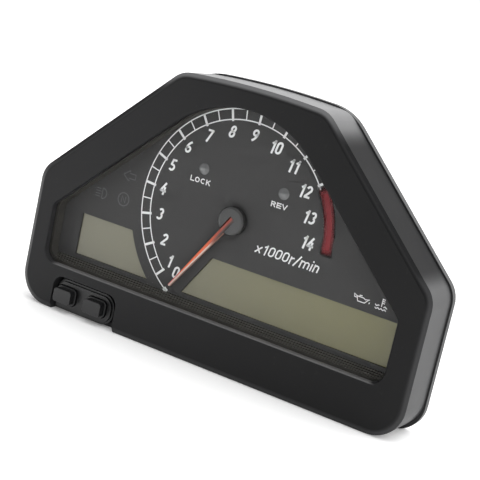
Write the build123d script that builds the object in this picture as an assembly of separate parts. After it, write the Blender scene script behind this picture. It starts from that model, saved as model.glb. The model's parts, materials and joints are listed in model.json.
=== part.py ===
from build123d import *

# Instrument cluster for a sports motorcycle: a six-sided meter head with one large
# tachometer, two liquid-crystal panels and two front keys.
#
# Millimetres. +X is to the right as a rider sees it, +Y runs from the face to the back
# and +Z is up. The origin is under the middle of the flat underside. Depths are counted
# from the bezel's flat face towards the back.
import os
from math import atan2, cos, radians, sin, sqrt

# ---- overall shape ---------------------------------------------------------------
case_width = 240.0  # of the bezel, without the rear rim
case_height = 150.0
crown_rise = 2.0  # the top edge is this much higher in its middle than at its ends
slant_rise = 74.55  # from where the upright sides turn in, to the top
slant_angle = 43.6  # of the upper sides, from level
bottom_corner_radius = 18.0
shoulder_radius = 14.0
crown_radius = 15.0

# ---- bezel -----------------------------------------------------------------------
bezel_depth = 26.8
side_wall = 2.6
face_wall = 2.6
chamfer_width = 3.2
chamfer_depth = 1.9
edge_softness = 0.8
wall_front = 0.5  # inner walls and bosses start this far behind the flat face
boss_radius = 3.6
boss_inset = 10.5
crown_boss_x = 36.0
slant_boss_along = 50.0

# ---- window and what stands behind it --------------------------------------------
dial_height = 78.75  # of the needle's axis
window_left = -107.4
window_right = 105.2
window_bottom = 25.95
window_arc_radius = 59.1
window_bottom_radius = 7.5
window_shoulder_radius = 5.0
window_lip = 0.9
window_wall = 2.0
window_wall_depth = 8.0
rebate = 2.0  # the lens sits this far under the window's edge
rebate_depth = 3.4
seat_clearance = 0.2
gasket_thickness = 0.6
lens_thickness = 2.0
shroud_flange = 1.6
ledge_steps = 4
ledge_rise = 0.8

# ---- dial ------------------------------------------------------------------------
dial_depth = 12.0
dial_thickness = 1.0
zero_angle = 236.9  # where the needle rests, anticlockwise from +X
tell_tale_x = 24.5
tell_tale_height = 100.25
tell_tale_radius = 3.1
tell_tale_proud = 1.1
tell_tale_stem = 2.4

# ---- liquid-crystal panels -------------------------------------------------------
panel_bottom = 31.95
panel_top = 55.65
left_panel_left = -95.0
left_panel_arc_radius = 65.0
right_panel_right = 101.0
right_panel_foot = -23.0
right_panel_shoulder = -8.5
panel_border = 3.0  # glass hidden behind the dial, on each side
panel_thickness = 2.4
strip_width = 2.0
strip_shortfall = 4.0  # how much shorter the rubber strip is than its glass
guide_gap = 0.4
guide_thickness = 2.2
guide_radius = 1.0

# ---- reflector and circuit board -------------------------------------------------
board_depth = 20.0
board_thickness = 1.6
reflector_wall = 1.8
diffuser_thickness = 1.5
diffuser_bottom = 62.0
pocket_clearance = 0.3
board_margin = 1.2
board_screw_radius = 1.25
board_screw_head_radius = 2.2
board_screw_head_height = 1.4
reflector_post_radius = 3.4
post_wall = 1.0  # left between a post and the box's outer side
post_along_slant = 8.0
led_size = 3.0
led_height = 1.1
dial_lamp_ring = 34.0
dial_lamp_turns = range(-5, 200, 41)
panel_lamp_spacing = 30.0

# ---- what is soldered to the back of the board: middles in X and Z ----------------
processor_place = (-44.0, 64.0)
processor_size = 12.0
driver_place = (-30.0, 40.0)
driver_size = 9.0
chip_thickness = 1.4
leg_pitch = 1.0
leg_length = 1.5
leg_thickness = 0.4
capacitor_places = ((30.0, 34.0), (-62.0, 60.0), (66.0, 76.0))
capacitor_radii = (5.0, 4.0, 4.0)
capacitor_heights = (12.0, 8.0, 8.0)
capacitor_edge = 0.6
regulator_place = (84.0, 66.0)
regulator_width = 10.0
regulator_tall = 9.0
regulator_thickness = 4.4
regulator_tab_tall = 5.0
regulator_tab_thickness = 1.3
resistor_rows = ((-76.0, 52.0), (-20.0, 116.0), (24.0, 58.0))
resistors_in_row = 6
resistor_pitch = 3.4
resistor_width = 1.6
resistor_tall = 3.2
resistor_thickness = 0.6

# ---- needle and its movement -----------------------------------------------------
needle_length = 53.0
needle_tail = 2.0
needle_root_width = 3.4
needle_tip_width = 1.3
needle_thickness = 2.2
needle_clearance = 1.9  # between the dial and the needle
cap_radius = 7.8
cap_height = 5.0  # of the cap's front above the dial
cap_foot = 0.8
cap_edge = 1.4
cap_boss_radius = 2.6
cap_boss_depth = 1.8  # how far the cap's boss reaches into the dial and beyond
spindle_radius = 0.75
running_clearance = 0.05
dial_hole_radius = 3.4
bush_radius = 2.6
bush_length = 3.4
base_radius = 16.0
base_thickness = 2.0
bobbin_radius = 10.0
bobbin_length = 10.0
bobbin_gap = 2.4
bobbin_wall = 2.0
rotor_radius = 6.8
rotor_length = 4.0
coil_band = 4.0
coil_split = 2.8  # half the gap that the coils leave for the bush
coil_thickness = 1.2
can_radius = 15.2
can_wall = 0.8
can_length = 18.4
terminal_radius = 0.5
terminal_circle = 13.8
terminal_proud = 0.8

# ---- keys ------------------------------------------------------------------------
recess_left = -97.2
recess_right = -54.0
recess_top = 20.05
recess_depth = 8.0
recess_radius = 6.0
recess_floor = 2.4
recess_wall = 2.0
pad_left_gap = 0.4
pad_right_gap = 3.4
pad_top_gap = 2.0
pad_right_radius = 7.5
pad_foot_radius = 1.0
pad_foot = 0.7  # the pad's lowest edge, above the underside
pad_front = 3.4
pad_sheet = 1.8
pad_step = 1.2  # the pad's front sheet is this much smaller, and stands this far forward
pad_skirt = 0.7
key_x = (-88.9, -68.2)
key_height = 9.7
key_base_width = 13.4
key_base_height = 10.0
key_base_radius = 2.8
key_base_front = 1.9
key_base_edge = 0.4
key_cap_width = 11.8
key_cap_height = 7.8
key_cap_radius = 1.8
key_cap_edge = 0.35
key_proud = 2.0  # of the bezel's face
key_gap = 0.35  # all round a key, where it slides
key_flange = 0.8  # above and below a key's base, behind the pad
key_flange_depth = 1.4
key_flange_radius = 3.0
key_stem_width = 6.0
key_stem_height = 4.0
key_travel = 1.0
switch_size = 6.0
switch_height = 3.4
plunger_radius = 1.6
plunger_proud = 1.4
plunger_held = 0.8  # of its length, inside the switch
plunger_gap = 0.1

# ---- rear housing ----------------------------------------------------------------
flange_thickness = 4.0
flange_proud = 0.9  # the flange stands out past the bezel, but not below
flange_bottom_radius = 15.0
flange_crown_radius = 28.0
bump_inset = 15.0
bump_depth = 50.0
bump_radius = 12.0
bump_wall = 2.5
bump_edge = 3.0
seal_inset = 0.7
seal_width = 1.2
seal_depth = 1.0
clamp_post_radius = 3.0
clamp_post_height = 34.0
clamp_post_side_gap = 6.0
upper_clamp_x = 52.0
upper_clamp_height = 108.0
rib_width = 1.8
rib_length = 29.0
rib_height = 1.6
screw_radius = 1.5
screw_hole_clearance = 0.05
screw_grip = 10.0
screw_head_radius = 2.9
screw_head_height = 1.9
board_screw_length = 5.0
cross_width = 0.7

# ---- mounting studs --------------------------------------------------------------
stud_circle_radius = 44.0
stud_circle_height = 70.0
stud_turns = (30.0, 150.0, 270.0)
stud_radius = 3.0
stud_shoulder_radius = 4.0  # the nut stops on it, at the grommet's back face
stud_tip = 0.6
stud_reach = 14.0  # beyond the grommet's back face
stud_head_radius = 6.0
stud_head_thickness = 3.0
stud_embed = 6.0  # from the raised back's face to the front of a stud's head
stud_boss_radius = 8.6
stud_boss_height = 3.0
grommet_radius = 8.5
grommet_height = 7.0
grommet_waist = 6.2
grommet_slot = 2.0
grommet_slot_start = 2.5

# ---- connector and breather ------------------------------------------------------
connector_x = 60.0
connector_height = 48.0
connector_width = 36.0
connector_tall = 13.0
connector_wall = 1.6
connector_cavity = 14.0  # from the mouth to the floor
connector_proud = 4.0
connector_boot = 2.0
connector_radius = 1.2
boot_radius = 2.0
pin_columns = 10
pin_rows = 2
pin_pitch = 2.8
row_pitch = 4.2
pin_size = 0.64
pin_reach = 7.0
vent_x = -58.0
vent_height = 44.0
vent_radius = 7.0
vent_hole_radius = 2.0
vent_thickness = 2.4
vent_wall = 1.5
vent_roof = 1.2
vent_slot_width = 1.6
vent_slot_height = 0.7
vent_edge = 0.8
membrane_thickness = 0.3
membrane_margin = 2.0
cut = 1.0  # every cut runs this far past the surfaces it opens

# ---- heights and depths that follow ----------------------------------------------
shoulder_height = case_height - slant_rise
gasket_depth = rebate_depth
lens_depth = gasket_depth + gasket_thickness
shroud_depth = lens_depth + lens_thickness
panel_depth = dial_depth + dial_thickness
guide_depth = panel_depth + panel_thickness + guide_gap
board_back = board_depth + board_thickness
rear_depth = bezel_depth + flange_thickness
cap_depth = dial_depth - cap_height
needle_depth = dial_depth - needle_clearance - needle_thickness
bobbin_depth = board_back + base_thickness + bobbin_gap
rotor_depth = bobbin_depth + (bobbin_length - rotor_length) / 2
spindle_end = bobbin_depth + bobbin_length - bobbin_wall / 2
stud_head_depth = bump_depth - stud_embed
stud_boss_depth = bump_depth + stud_boss_height
grommet_back = stud_boss_depth + grommet_height
overall_depth = key_proud + grommet_back + stud_reach
face_y = key_proud - overall_depth / 2
half_width = case_width / 2


# ---- helpers ---------------------------------------------------------------------
def plate(sketch, front, back):
    """A flat sketch in X and Z, made solid from one depth to another."""
    plane = Plane(origin=(0, face_y + back, 0), x_dir=(1, 0, 0), z_dir=(0, -1, 0))
    return extrude(plane * sketch, amount=back - front, dir=(0, -1, 0))


def disc(x, z, radius, front, back):
    """A round bar along Y."""
    return plate(Pos(x, z) * Circle(radius), front, back)


def block(x, z, width, height, front, back, radius=0.0):
    """A bar along Y with a rectangular section and rounded corners."""
    if radius > 0:
        return plate(Pos(x, z) * RectangleRounded(width, height, radius), front, back)
    return plate(Pos(x, z) * Rectangle(width, height), front, back)


def joined(pieces):
    """Several solids that belong to one node."""
    return Compound(children=[solid for piece in pieces for solid in piece.solids()])


def on_slant(distance, along, side=1):
    """A point at a distance from the needle's axis, square to a slanted side, then along it."""
    lean = radians(slant_angle)
    x = distance * sin(lean) + along * cos(lean)
    z = dial_height + distance * cos(lean) - along * sin(lean)
    return side * x, z


def slant_distance():
    """How far the slanted sides stand from the needle's axis."""
    lean = radians(slant_angle)
    return half_width * sin(lean) + (shoulder_height - dial_height) * cos(lean)


def rounded(sketch, corners, radius):
    """Rounds the corners of a flat sketch that lie nearest to these points."""
    picked = [min(sketch.vertices(), key=lambda v: (v.X - x) ** 2 + (v.Y - z) ** 2) for x, z in corners]
    return fillet(picked, radius)


def outline(inset=0.0, bottom_radius=bottom_corner_radius, top_radius=crown_radius):
    """The six-sided outline with its crowned top, moved inwards."""
    lean = radians(slant_angle)
    side = half_width - inset
    reach = slant_distance() - inset
    shoulder = dial_height + (reach - side * sin(lean)) / cos(lean)
    corner_z = case_height - crown_rise - inset
    corner_x = (reach - (corner_z - dial_height) * cos(lean)) / sin(lean)
    lower = Polyline((-corner_x, corner_z), (-side, shoulder), (-side, inset), (side, inset),
                     (side, shoulder), (corner_x, corner_z))
    crown = ThreePointArc((corner_x, corner_z), (0, corner_z + crown_rise), (-corner_x, corner_z))
    shape = make_face(lower.edges() + crown.edges())
    shape = rounded(shape, [(-side, inset), (side, inset)], max(bottom_radius - inset, 1.0))
    shape = rounded(shape, [(-side, shoulder), (side, shoulder)], max(shoulder_radius - inset, 1.0))
    return rounded(shape, [(-corner_x, corner_z), (corner_x, corner_z)], max(top_radius - inset, 1.0))


def window(grow=0.0):
    """The window: upright sides, slants and a top arc that runs round the dial."""
    left = window_left - grow
    right = window_right + grow
    bottom = window_bottom - grow
    lean = radians(slant_angle)
    reach = window_arc_radius + grow
    left_shoulder = (left, dial_height + (reach + left * sin(lean)) / cos(lean))
    right_shoulder = (right, dial_height + (reach - right * sin(lean)) / cos(lean))
    left_end = on_slant(reach, 0.0, -1)
    right_end = on_slant(reach, 0.0)
    lower = Polyline(left_end, left_shoulder, (left, bottom), (right, bottom), right_shoulder, right_end)
    arch = ThreePointArc(right_end, (0, dial_height + reach), left_end)
    shape = make_face(lower.edges() + arch.edges())
    shape = rounded(shape, [(left, bottom), (right, bottom)], window_bottom_radius + grow)
    return rounded(shape, [left_shoulder, right_shoulder], window_shoulder_radius + grow)


def left_panel_view(grow=0.0):
    """What shows of the left panel: its right side runs round the dial."""
    left = left_panel_left - grow
    bottom = panel_bottom - grow
    top = panel_top + grow
    radius = left_panel_arc_radius - grow
    foot = (-sqrt(radius**2 - (dial_height - bottom) ** 2), bottom)
    head = (-sqrt(radius**2 - (dial_height - top) ** 2), top)
    middle_turn = (atan2(foot[1] - dial_height, foot[0]) + atan2(head[1] - dial_height, head[0])) / 2
    middle = (radius * cos(middle_turn), dial_height + radius * sin(middle_turn))
    straight = Polyline(head, (left, top), (left, bottom), foot)
    return make_face(straight.edges() + ThreePointArc(foot, middle, head).edges())


def right_panel_view():
    """What shows of the right panel: its left side slants."""
    shape = Polyline((right_panel_foot, panel_bottom), (right_panel_right, panel_bottom),
                     (right_panel_right, panel_top), (right_panel_shoulder, panel_top), close=True)
    return make_face(shape.edges())


def glass_box(left, right):
    """Centre and size of a panel's glass behind the dial: x, z, width, height."""
    width = right - left + 2 * panel_border
    height = panel_top - panel_bottom + 2 * panel_border
    return (left + right) / 2, (panel_bottom + panel_top) / 2, width, height


def left_glass():
    inner_end = -sqrt(left_panel_arc_radius**2 - (dial_height - panel_bottom) ** 2)
    return glass_box(left_panel_left, inner_end)


def right_glass():
    return glass_box(right_panel_foot, right_panel_right)


def on_circle(x, z, radius, angles):
    """Points on a circle, at angles in degrees anticlockwise from +X."""
    turns = [radians(angle) for angle in angles]
    return [(x + radius * cos(turn), z + radius * sin(turn)) for turn in turns]


def case_bosses():
    """Where the rear housing is screwed to the bezel: X and Z."""
    low = half_width - boss_inset
    high = case_height - boss_inset
    slant = slant_distance() - boss_inset
    places = [(0.0, boss_inset)]
    for side in (-1, 1):
        places += [(side * low, boss_inset), on_slant(slant, slant_boss_along, side)]
        places.append((side * crown_boss_x, high))
    return places


def board_posts():
    """Where the circuit board is screwed to the reflector: X and Z."""
    upper = on_slant(window_arc_radius - reflector_post_radius - reflector_wall, post_along_slant)
    above_panels = panel_top + panel_border + 2 * pocket_clearance + reflector_post_radius
    half_window = min(-window_left, window_right)
    lower = (half_window - reflector_post_radius - reflector_wall - post_wall, above_panels)
    return [(side * x, z) for side in (-1, 1) for x, z in (upper, lower)]


def stud_places():
    """Three studs, evenly spread on a circle: X and Z."""
    return on_circle(0.0, stud_circle_height, stud_circle_radius, stud_turns)


def at_rest(part):
    """Turns a part that was drawn pointing along +X to where the needle rests."""
    pivot = (0, 0, dial_height)
    return Pos(*pivot) * Rot(0, -zero_angle, 0) * Pos(0, 0, -dial_height) * part


# ---- bezel and window ------------------------------------------------------------
def make_front_bezel():
    """The front case: a chamfered shell with the window's wall and the keys' recess."""
    body = plate(outline(), 0.0, bezel_depth)
    front = body.faces().sort_by(Axis.Y)[0]
    body = chamfer(front.edges(), length=chamfer_width, length2=chamfer_depth, reference=front)
    front = body.faces().sort_by(Axis.Y)[0]
    body = fillet(front.edges(), edge_softness)
    body -= plate(outline(side_wall), face_wall, bezel_depth)
    body += plate(window(rebate + window_wall), wall_front, window_wall_depth)
    for x, z in case_bosses():
        body += disc(x, z, boss_radius, wall_front, bezel_depth)
    body -= plate(window(), -cut, window_wall_depth + cut)
    rim = body.faces().sort_by(Axis.Y)[0].inner_wires()[0].edges()
    body = fillet(rim, window_lip)
    body -= plate(window(rebate), rebate_depth, window_wall_depth + cut)
    for x, z in case_bosses():
        body -= disc(x, z, screw_radius + screw_hole_clearance, bezel_depth - screw_grip - cut, bezel_depth)
    return cut_recess(body)


def recess_sketch(grow=0.0):
    """The keys' recess: open below, with its two upper corners rounded."""
    left = recess_left - grow
    right = recess_right + grow
    top = recess_top + grow
    shape = Pos((left + right) / 2, (top - cut) / 2) * Rectangle(right - left, top + cut)
    return rounded(shape, [(left, top), (right, top)], recess_radius + grow)


def cut_recess(body):
    """Walls in and cuts out the recess, and opens its floor for the keys' stems."""
    case = plate(outline(), face_wall, recess_depth + recess_floor)
    body += plate(recess_sketch(recess_wall), face_wall, recess_depth + recess_floor) & case
    body -= plate(recess_sketch(), -cut, recess_depth)
    for x in key_x:
        width = key_stem_width + 2 * key_gap
        height = key_stem_height + 2 * key_gap
        body -= block(x, key_height, width, height, recess_depth - cut, recess_depth + recess_floor + cut)
    return body


def make_lens_gasket():
    """The foam ring between the window's rebate and the lens."""
    ring = plate(window(rebate - seat_clearance), gasket_depth, lens_depth)
    return ring - plate(window(seat_clearance), gasket_depth - cut, lens_depth + cut)


def make_lens():
    return plate(window(rebate - seat_clearance), lens_depth, shroud_depth)


def make_inner_shroud():
    """The dark liner between the lens and the dial, with a stepped ledge below."""
    body = plate(window(rebate - seat_clearance), shroud_depth, dial_depth)
    body += plate(window(rebate + shroud_flange), window_wall_depth, dial_depth)
    body -= plate(window(), shroud_depth - cut, dial_depth + cut)
    step_depth = (dial_depth - shroud_depth) / ledge_steps
    opening = plate(window(seat_clearance), shroud_depth, dial_depth)
    for step in range(ledge_steps):
        rise = (step + 1) * ledge_rise
        bar = Pos(0, window_bottom + rise / 2) * Rectangle(case_width, rise + 2 * seat_clearance)
        body += plate(bar, shroud_depth + step * step_depth, dial_depth) & opening
    return body


# ---- dial and displays -----------------------------------------------------------
def make_dial_plate():
    """The printed dial, cut out for the panels, the spindle and the tell-tales."""
    body = plate(window(rebate + shroud_flange), dial_depth, panel_depth)
    body -= plate(left_panel_view(), dial_depth - cut, panel_depth + cut)
    body -= plate(right_panel_view(), dial_depth - cut, panel_depth + cut)
    body -= disc(0, dial_height, dial_hole_radius, dial_depth - cut, panel_depth + cut)
    for x in (-tell_tale_x, tell_tale_x):
        body -= disc(x, tell_tale_height, tell_tale_stem, dial_depth - cut, panel_depth + cut)
    return body


def make_tell_tale(x):
    """A clear domed lens with a stem that fills its hole in the dial."""
    rise = tell_tale_proud
    ball_radius = (tell_tale_radius**2 + rise**2) / (2 * rise)
    centre_y = face_y + dial_depth - rise + ball_radius
    dome = Pos(x, centre_y, tell_tale_height) * Sphere(ball_radius)
    dome &= disc(x, tell_tale_height, tell_tale_radius, dial_depth - rise - cut, dial_depth)
    return dome + disc(x, tell_tale_height, tell_tale_stem, dial_depth - rise / 2, panel_depth)


def make_panel(glass):
    x, z, width, height = glass
    return block(x, z, width, height, panel_depth, panel_depth + panel_thickness)


def make_contact_strip(glass):
    """The rubber strip that joins a panel's lower edge to the board."""
    x, z, width, height = glass
    low = z - height / 2 + strip_width / 2
    return block(x, low, width - strip_shortfall, strip_width, panel_depth + panel_thickness, board_depth)


def make_panel_guide(glass):
    """The clear plate that lights a panel from behind."""
    x, z, width, height = glass
    free = height - strip_width - 2 * guide_gap
    middle = z + (height - free) / 2
    return block(x, middle, width, free, guide_depth, guide_depth + guide_thickness, guide_radius)


def diffuser_sketch(inset=0.0):
    """The upper part of the window, above the panels."""
    above = Pos(0, diffuser_bottom + inset + case_height / 2) * Rectangle(case_width, case_height)
    return window(-reflector_wall - inset) & above


def make_dial_diffuser():
    """The clear plate that lights the dial's figures from behind."""
    body = plate(diffuser_sketch(), panel_depth, panel_depth + diffuser_thickness)
    return body - disc(0, dial_height, dial_hole_radius, panel_depth - cut, board_depth)


def make_reflector():
    """The white light box between the dial and the circuit board."""
    body = plate(window(rebate), panel_depth, board_depth)
    for x, z, width, height in (left_glass(), right_glass()):
        spread = 2 * pocket_clearance
        body -= block(x, z, width + spread, height + spread, panel_depth - cut, board_depth + cut)
    body -= plate(diffuser_sketch(-pocket_clearance), panel_depth - cut, panel_depth + diffuser_thickness)
    body -= plate(diffuser_sketch(reflector_wall), panel_depth, board_depth + cut)
    for x, z in board_posts():
        body += disc(x, z, reflector_post_radius, panel_depth + diffuser_thickness, board_depth)
        hole = board_screw_radius + screw_hole_clearance
        body -= disc(x, z, hole, panel_depth + diffuser_thickness, board_depth + cut)
    return body


# ---- circuit board ---------------------------------------------------------------
def make_circuit_board():
    """The board, cut back round the bezel's bosses and bored for its screws and the movement."""
    body = plate(outline(side_wall + board_margin), board_depth, board_back)
    for x, z in case_bosses():
        body -= disc(x, z, boss_radius + pocket_clearance, board_depth - cut, board_back + cut)
    for x, z in board_posts():
        body -= disc(x, z, board_screw_radius + screw_hole_clearance, board_depth - cut, board_back + cut)
    body -= disc(0, dial_height, bush_radius, board_depth - cut, board_back + cut)
    for x, z in terminal_places():
        body -= disc(x, z, terminal_radius, board_depth - cut, board_back + cut)
    return body


def make_chip(place, size):
    """A square black chip on the back of the board."""
    return block(*place, size, size, board_back, board_back + chip_thickness)


def make_chip_legs(place, size):
    """Two rows of flat legs beside a square chip."""
    x, z = place
    count = int(size / leg_pitch)
    legs = []
    for side in (-1, 1):
        middle = x + side * (size + leg_length) / 2
        for leg in range(count):
            height = z + (leg - (count - 1) / 2) * leg_pitch
            legs.append(block(middle, height, leg_length, leg_pitch / 2,
                              board_back, board_back + leg_thickness))
    return joined(legs)


def make_capacitors():
    """Upright round capacitors on the back of the board."""
    cans = []
    for (x, z), radius, height in zip(capacitor_places, capacitor_radii, capacitor_heights):
        can = disc(x, z, radius, board_back, board_back + height)
        cans.append(fillet(can.faces().sort_by(Axis.Y)[-1].edges(), capacitor_edge))
    return joined(cans)


def make_regulator():
    """The power regulator with its metal tab."""
    x, z = regulator_place
    tab_z = z + (regulator_tall + regulator_tab_tall) / 2
    body = block(x, z, regulator_width, regulator_tall, board_back, board_back + regulator_thickness)
    tab_back = board_back + regulator_tab_thickness
    return body + block(x, tab_z, regulator_width, regulator_tab_tall, board_back, tab_back)


def make_resistors():
    """Rows of small chip resistors on the back of the board."""
    chips = []
    for x, z in resistor_rows:
        for column in range(resistors_in_row):
            chips.append(block(x + column * resistor_pitch, z, resistor_width, resistor_tall,
                               board_back, board_back + resistor_thickness))
    return joined(chips)


def make_leds(places):
    """Small square lamps on the front of the board."""
    return joined([block(x, z, led_size, led_size, board_depth - led_height, board_depth) for x, z in places])


def dial_lamp_places():
    """Lamps behind the figures, evenly round the dial, clear of the movement."""
    return on_circle(0.0, dial_height, dial_lamp_ring, dial_lamp_turns)


def panel_lamp_places():
    """Lamps in a row behind each panel's light guide."""
    places = []
    for x, z, width, _ in (left_glass(), right_glass()):
        count = round(width / panel_lamp_spacing)
        for lamp in range(count):
            places.append((x + ((lamp + 0.5) / count - 0.5) * width, z))
    return places


# ---- needle and movement ---------------------------------------------------------
def make_needle_pointer():
    """A tapering blade with a ridge along its middle."""
    half_root = needle_root_width / 2
    half_tip = needle_tip_width / 2
    shape = Polyline((-needle_tail, half_root), (-needle_tail, -half_root), (needle_length, -half_tip),
                     (needle_length, half_tip), close=True)
    shape = Pos(0, dial_height) * make_face(shape.edges())
    blade = plate(shape, needle_depth, needle_depth + needle_thickness)
    front = blade.faces().sort_by(Axis.Y)[0]
    blade = chamfer(front.edges().sort_by(Axis.X)[1:-1], half_tip * 0.7)
    return at_rest(blade)


def make_needle_cap():
    """The round black hub: a slot in its front holds the blade, and a boss behind the spindle."""
    body = disc(0, dial_height, cap_radius, cap_depth, dial_depth - cap_foot)
    body = fillet(body.faces().sort_by(Axis.Y)[0].edges(), cap_edge)
    needle_back = needle_depth + needle_thickness
    boss_back = dial_depth + cap_boss_depth
    body += disc(0, dial_height, cap_boss_radius, needle_back, boss_back)
    slot_length = cap_radius + needle_tail + cut
    slot_x = slot_length / 2 - needle_tail
    body -= block(slot_x, dial_height, slot_length, needle_root_width, cap_depth - cut, needle_back)
    body -= disc(0, dial_height, spindle_radius, needle_back, boss_back + cut)
    return at_rest(body)


def make_spindle():
    return disc(0, dial_height, spindle_radius, needle_depth + needle_thickness, spindle_end)


def make_rotor():
    """The magnet that the coils turn."""
    body = disc(0, dial_height, rotor_radius, rotor_depth, rotor_depth + rotor_length)
    return body - disc(0, dial_height, spindle_radius, rotor_depth - cut, rotor_depth + rotor_length + cut)


def terminal_places():
    return on_circle(0.0, dial_height, terminal_circle, (45.0, 135.0, 225.0, 315.0))


def make_movement_base():
    """The movement's foot on the board, with the bush that carries the spindle."""
    base_back = board_back + base_thickness
    bush_front = board_back - bush_length
    body = disc(0, dial_height, base_radius, board_back, base_back)
    body += disc(0, dial_height, bush_radius, bush_front, bobbin_depth)
    body -= disc(0, dial_height, spindle_radius + running_clearance, bush_front - cut, bobbin_depth + cut)
    for x, z in terminal_places():
        body -= disc(x, z, terminal_radius, board_back - cut, base_back + cut)
    return body


def make_bobbin_half(front_half):
    """Half of the drum round the magnet: a wall with the spindle's hole and a cup."""
    middle = bobbin_depth + bobbin_length / 2
    front, back = (bobbin_depth, middle) if front_half else (middle, bobbin_depth + bobbin_length)
    body = disc(0, dial_height, bobbin_radius, front, back)
    chamber = bobbin_depth + bobbin_wall, bobbin_depth + bobbin_length - bobbin_wall
    body -= disc(0, dial_height, bobbin_radius - bobbin_wall, *chamber)
    hole_front = bobbin_depth - cut if front_half else middle
    hole_back = middle if front_half else spindle_end + running_clearance
    return body - disc(0, dial_height, spindle_radius + running_clearance, hole_front, hole_back)


def make_coil(outer, upright):
    """Two wound loops, one each side of the spindle, round the drum."""
    lift = coil_thickness if outer else 0.0
    inner_half = bobbin_radius + lift
    outer_half = inner_half + coil_thickness
    front = bobbin_depth - lift
    back = bobbin_depth + bobbin_length + lift
    loops = []
    for side in (-1, 1):
        offset = side * (coil_split + coil_band / 2)
        x, z = (offset, dial_height) if upright else (0.0, dial_height + offset)
        size = (coil_band, 2 * outer_half) if upright else (2 * outer_half, coil_band)
        gap = (coil_band + cut, 2 * inner_half) if upright else (2 * inner_half, coil_band + cut)
        loop = block(x, z, *size, front - coil_thickness, back + coil_thickness)
        loops.append(loop - block(x, z, *gap, front, back))
    return joined(loops)


def make_can():
    """The steel can that shields the movement."""
    start = board_back + base_thickness
    body = disc(0, dial_height, can_radius, start, start + can_length)
    return body - disc(0, dial_height, can_radius - can_wall, start - cut, start + can_length - can_wall)


def make_terminals():
    ends = board_depth - terminal_proud, board_back + base_thickness
    return joined([disc(x, z, terminal_radius, *ends) for x, z in terminal_places()])


# ---- keys ------------------------------------------------------------------------
def pad_sketch(inset=0.0):
    """The rubber pad's outline inside the recess."""
    left = recess_left + pad_left_gap + inset
    right = recess_right - pad_right_gap - inset
    top = recess_top - pad_top_gap - inset
    foot = pad_foot + inset
    shape = Pos((left + right) / 2, (top + foot) / 2) * Rectangle(right - left, top - foot)
    shape = rounded(shape, [(left, top)], recess_radius - pad_left_gap - inset)
    shape = rounded(shape, [(right, top), (right, foot)], pad_right_radius - inset)
    return rounded(shape, [(left, foot)], pad_foot_radius)


def make_key_pad():
    """The rubber pad: a stepped front sheet over a skirt, with a hole for each key."""
    body = plate(pad_sketch(), pad_front + pad_step, recess_depth)
    body += plate(pad_sketch(pad_step), pad_front, pad_front + pad_sheet)
    body -= plate(pad_sketch(pad_skirt), pad_front + pad_sheet, recess_depth + cut)
    for x in key_x:
        width = key_base_width + 2 * key_gap
        height = key_base_height + 2 * key_gap
        body -= block(x, key_height, width, height, 0.0, recess_depth, key_base_radius + key_gap)
    return body


def make_key(x):
    """A key: a raised cap on a wider base, with a flange and a stem behind."""
    flange_front = pad_front + pad_sheet + key_gap
    flange_back = flange_front + key_flange_depth
    body = block(x, key_height, key_base_width, key_base_height, key_base_front, flange_back, key_base_radius)
    body = fillet(body.faces().sort_by(Axis.Y)[0].edges(), key_base_edge)
    cap = block(x, key_height, key_cap_width, key_cap_height,
                -key_proud, key_base_front + cut, key_cap_radius)
    body += fillet(cap.faces().sort_by(Axis.Y)[0].edges(), key_cap_edge)
    height = key_base_height + 2 * key_flange
    body += block(x, key_height, key_base_width, height, flange_front, flange_back, key_flange_radius)
    return body + block(x, key_height, key_stem_width, key_stem_height, flange_front, plunger_depth())


def plunger_depth():
    """Where the switch's plunger starts, behind the key's stem."""
    return board_depth - switch_height - plunger_proud


def make_switch(x):
    """A push switch on the board, with a well for its plunger."""
    front = board_depth - switch_height
    body = block(x, key_height, switch_size, switch_size, front, board_depth)
    well_back = front + plunger_held + key_travel + plunger_gap
    return body - disc(x, key_height, plunger_radius + plunger_gap, front - cut, well_back)


def make_plunger(x):
    """The switch's plunger, which the key's stem pushes."""
    return disc(x, key_height, plunger_radius, plunger_depth(), board_depth - switch_height + plunger_held)


# ---- rear housing ----------------------------------------------------------------
def bump_sketch(inset=0.0):
    """The outline of the housing's raised back."""
    return outline(bump_inset + inset, bottom_corner_radius + bump_radius)


def make_rear_housing():
    """The rear case: a flange on the bezel and a raised, hollow back."""
    body = plate(flange_sketch(), bezel_depth, rear_depth)
    body += plate(bump_sketch(), rear_depth - cut, bump_depth)
    top = body.faces().sort_by(Axis.Y)[-1]
    body = fillet(top.edges(), bump_edge)
    body += make_back_ribs()
    body -= plate(bump_sketch(bump_wall), bezel_depth - cut, bump_depth - bump_wall)
    body -= make_housing_seal()
    for x, z in clamp_posts():
        body += disc(x, z, clamp_post_radius, board_back, bump_depth - bump_wall / 2)
    for x, z in case_bosses():
        body -= disc(x, z, screw_radius + screw_hole_clearance, bezel_depth - cut, rear_depth + cut)
    for x, z in stud_places():
        body += disc(x, z, stud_boss_radius, stud_head_depth, stud_boss_depth)
    body -= make_studs()
    body -= plate(boot_sketch(), bump_depth - bump_wall - cut, bump_depth + cut)
    body -= disc(vent_x, vent_height, vent_hole_radius, bump_depth - bump_wall - cut, bump_depth + cut)
    return body


def flange_sketch():
    """The flange's outline: past the bezel all round, but level with it below."""
    above = Pos(0, case_height) * Rectangle(2 * case_width, 2 * case_height)
    return outline(-flange_proud, flange_bottom_radius, flange_crown_radius) & above


def make_back_ribs():
    """Low crossed ribs that stiffen the back round each stud."""
    ribs = []
    for x, z in stud_places():
        for width, height in ((rib_length, rib_width), (rib_width, rib_length)):
            ribs.append(block(x, z, width, height, bump_depth - bump_wall, bump_depth + rib_height))
    return joined(ribs) & plate(bump_sketch(bump_edge), rear_depth, bump_depth + rib_height)


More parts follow.
